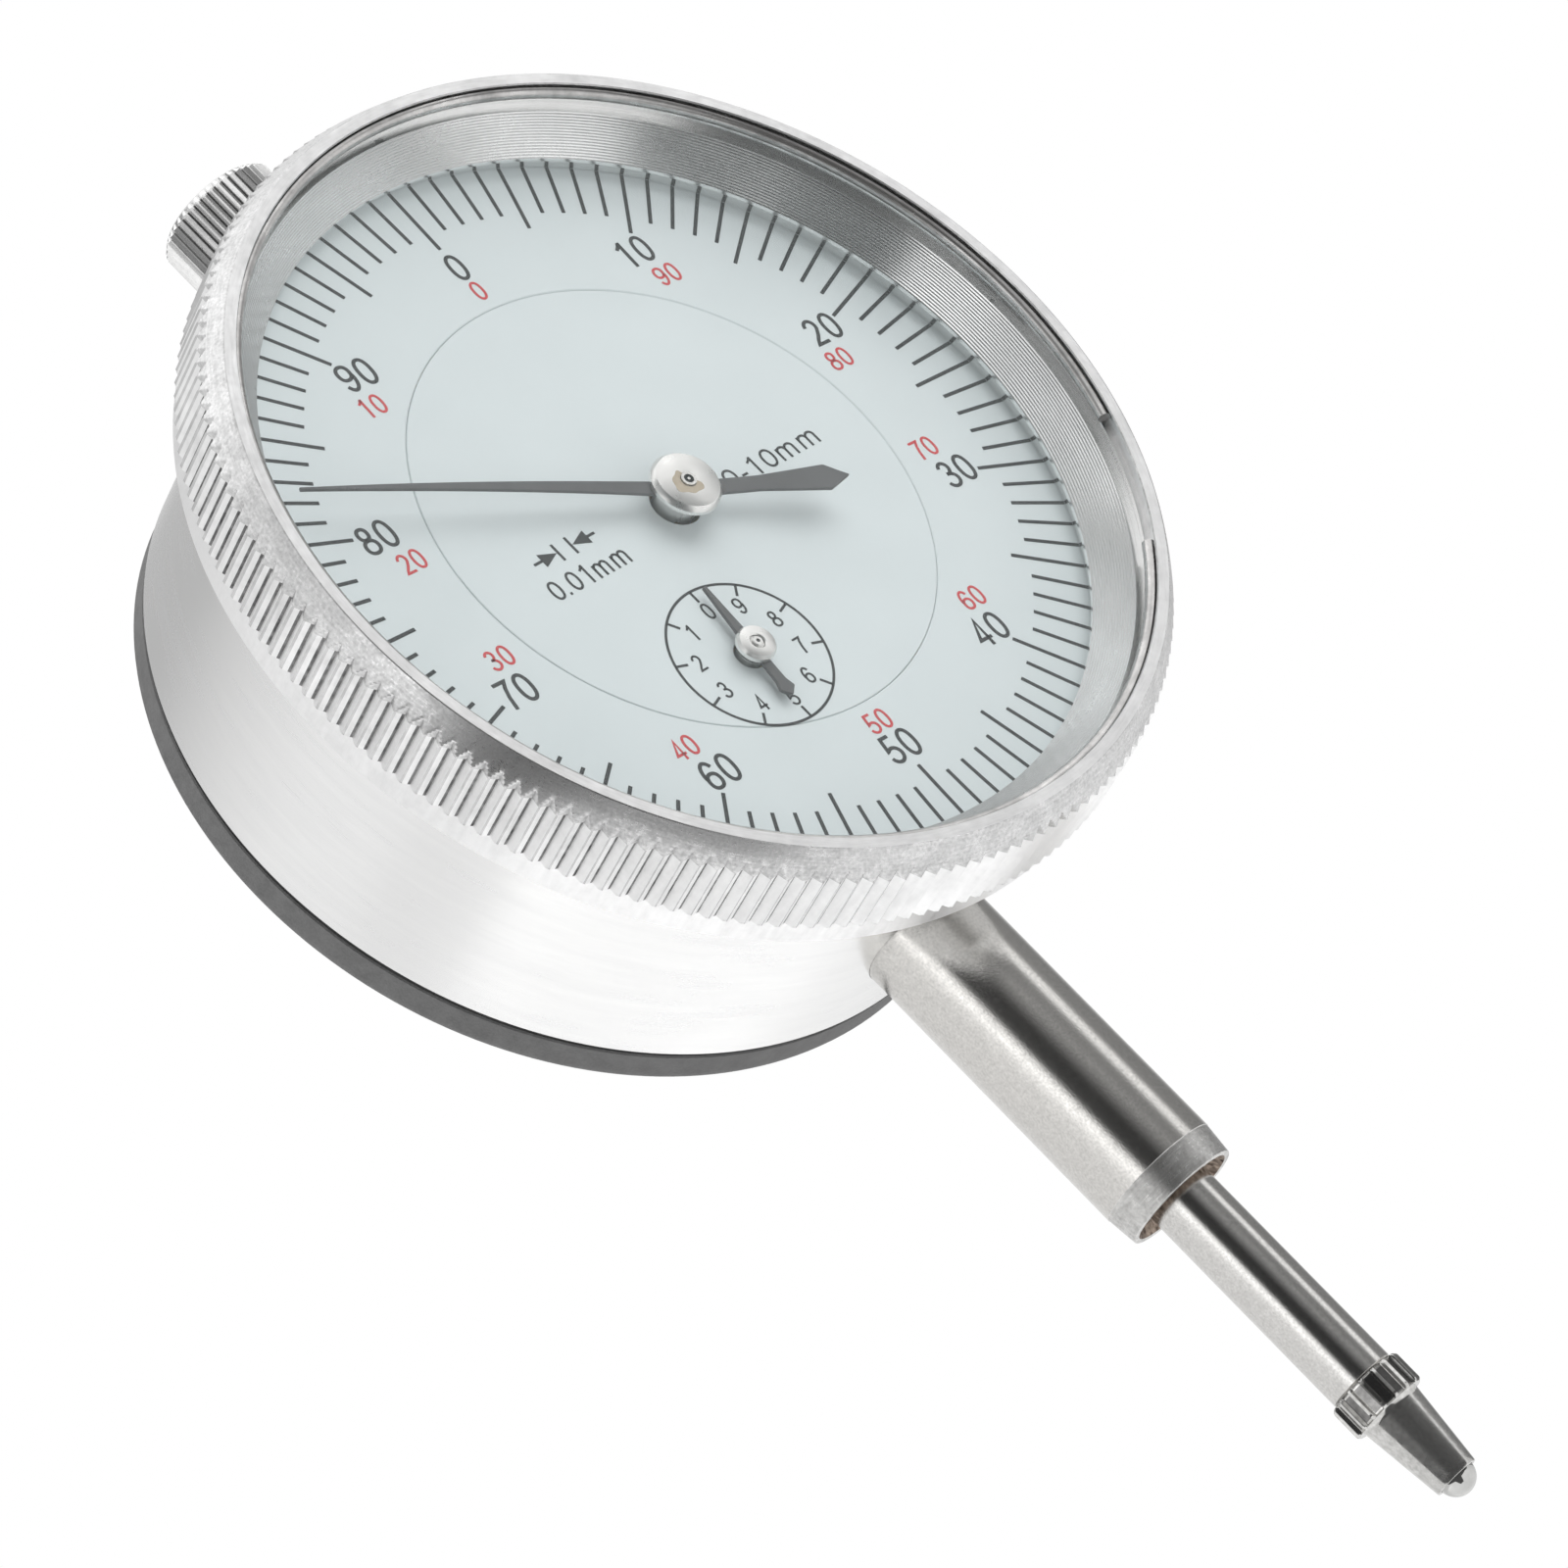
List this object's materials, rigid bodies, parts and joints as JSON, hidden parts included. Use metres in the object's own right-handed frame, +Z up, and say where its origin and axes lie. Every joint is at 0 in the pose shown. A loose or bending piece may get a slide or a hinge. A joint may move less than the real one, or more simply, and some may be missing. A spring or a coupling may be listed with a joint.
{
  "type": "dial indicator",
  "caption": "Plunger dial indicator, 10 mm travel by 0.01 mm, with a knurled turning bezel, a turn counter, an 8 mm stem, a ball contact point and a lug back",
  "frame": {"origin": "On the spindle's axis, level with the lower end face of the 8 mm stem", "axes": "+X is right as seen by a person reading the dial, -Y is the way the dial faces, +Z is up along the spindle, away from the contact point"},
  "size_m": [0.0608, 0.0386, 0.1089],
  "materials": {
    "case_metal": "satin plated",
    "cover_paint": "matte dark grey",
    "seal_rubber": "flat sheet",
    "screw_steel": "turned",
    "stem_steel": "ground",
    "bush_bronze": "bored",
    "bezel_aluminium": "turned and knurled",
    "spindle_steel": "ground",
    "ball_steel": "polished",
    "movement_brass": "stamped and cut",
    "spring_steel": "drawn wire and strip",
    "pointer_paint": "semi-matte dark grey",
    "dial_paint": "matte pale blue-grey with printed marks",
    "crystal_clear": "clear"
  },
  "bodies": {
    "body": {"case": "case_metal", "back_cover": "cover_paint", "cover_gasket": "seal_rubber", "cover_screw_1": "screw_steel", "cover_screw_2": "screw_steel", "cover_screw_3": "screw_steel", "cover_screw_4": "screw_steel", "stem": "stem_steel", "lower_bush": "bush_bronze", "upper_bush": "bush_bronze", "top_cap": "bezel_aluminium", "front_plate": "movement_brass", "rear_plate": "movement_brass", "center_bridge": "movement_brass", "pillar_1": "movement_brass", "pillar_2": "movement_brass", "pillar_3": "movement_brass", "pillar_screw_1": "screw_steel", "pillar_screw_2": "screw_steel", "pillar_screw_3": "screw_steel", "bridge_post_1": "movement_brass", "bridge_post_2": "movement_brass", "bridge_screw_1": "screw_steel", "bridge_screw_2": "screw_steel", "plate_screw_1": "screw_steel", "plate_screw_2": "screw_steel", "plate_screw_3": "screw_steel", "return_spring": "spring_steel", "spring_post": "spindle_steel", "hairspring": "spring_steel", "hairspring_stud": "movement_brass", "inner_dial": "dial_paint", "bezel_wire": "spring_steel"},
    "plunger": {"spindle": "spindle_steel", "contact_point": "spindle_steel", "contact_ball": "ball_steel", "guide_pin": "spindle_steel"},
    "transfer": {"pinion_shaft": "spindle_steel", "transfer_gear": "movement_brass"},
    "long_hand": {"center_arbor": "spindle_steel", "main_hub": "screw_steel", "main_pointer": "pointer_paint"},
    "short_hand": {"takeup_gear": "movement_brass", "takeup_arbor": "spindle_steel", "hairspring_collet": "movement_brass", "small_hub": "screw_steel", "small_pointer": "pointer_paint"},
    "outer_ring": {"bezel": "bezel_aluminium", "crystal": "crystal_clear", "crystal_snap_ring": "spring_steel", "dial_ring": "dial_paint"}
  },
  "joints": [
    {"name": "spindle_slide", "type": "slide", "parent": "body", "child": "plunger", "axis": [0, 0, 1], "range_m": [0, 0.0102], "stiffness_N_per_m": 40, "springref_m": -0.0125, "deforming": ["return_spring"]},
    {"name": "transfer_turn", "type": "hinge", "parent": "body", "child": "transfer", "pos_m": [-0.00319, 0, 0.05992], "axis": [0, 1, 0], "range_deg": [-370, 0]},
    {"name": "long_hand_turn", "type": "hinge", "parent": "body", "child": "long_hand", "pos_m": [0, 0, 0.049], "axis": [0, 1, 0], "range_deg": [0, 3700]},
    {"name": "short_hand_turn", "type": "hinge", "parent": "body", "child": "short_hand", "pos_m": [-0.0043, 0, 0.03847], "axis": [0, 1, 0], "range_deg": [-370, 0]},
    {"name": "bezel_turn", "type": "hinge", "parent": "body", "child": "outer_ring", "pos_m": [0, -0.0119, 0.049], "axis": [0, -1, 0], "continuous": true}
  ],
  "couplings": [
    {"joint": "transfer_turn", "follows": "spindle_slide", "rad_per_m": -628.32},
    {"joint": "long_hand_turn", "follows": "spindle_slide", "rad_per_m": 6283.2},
    {"joint": "short_hand_turn", "follows": "spindle_slide", "rad_per_m": -628.32}
  ]
}
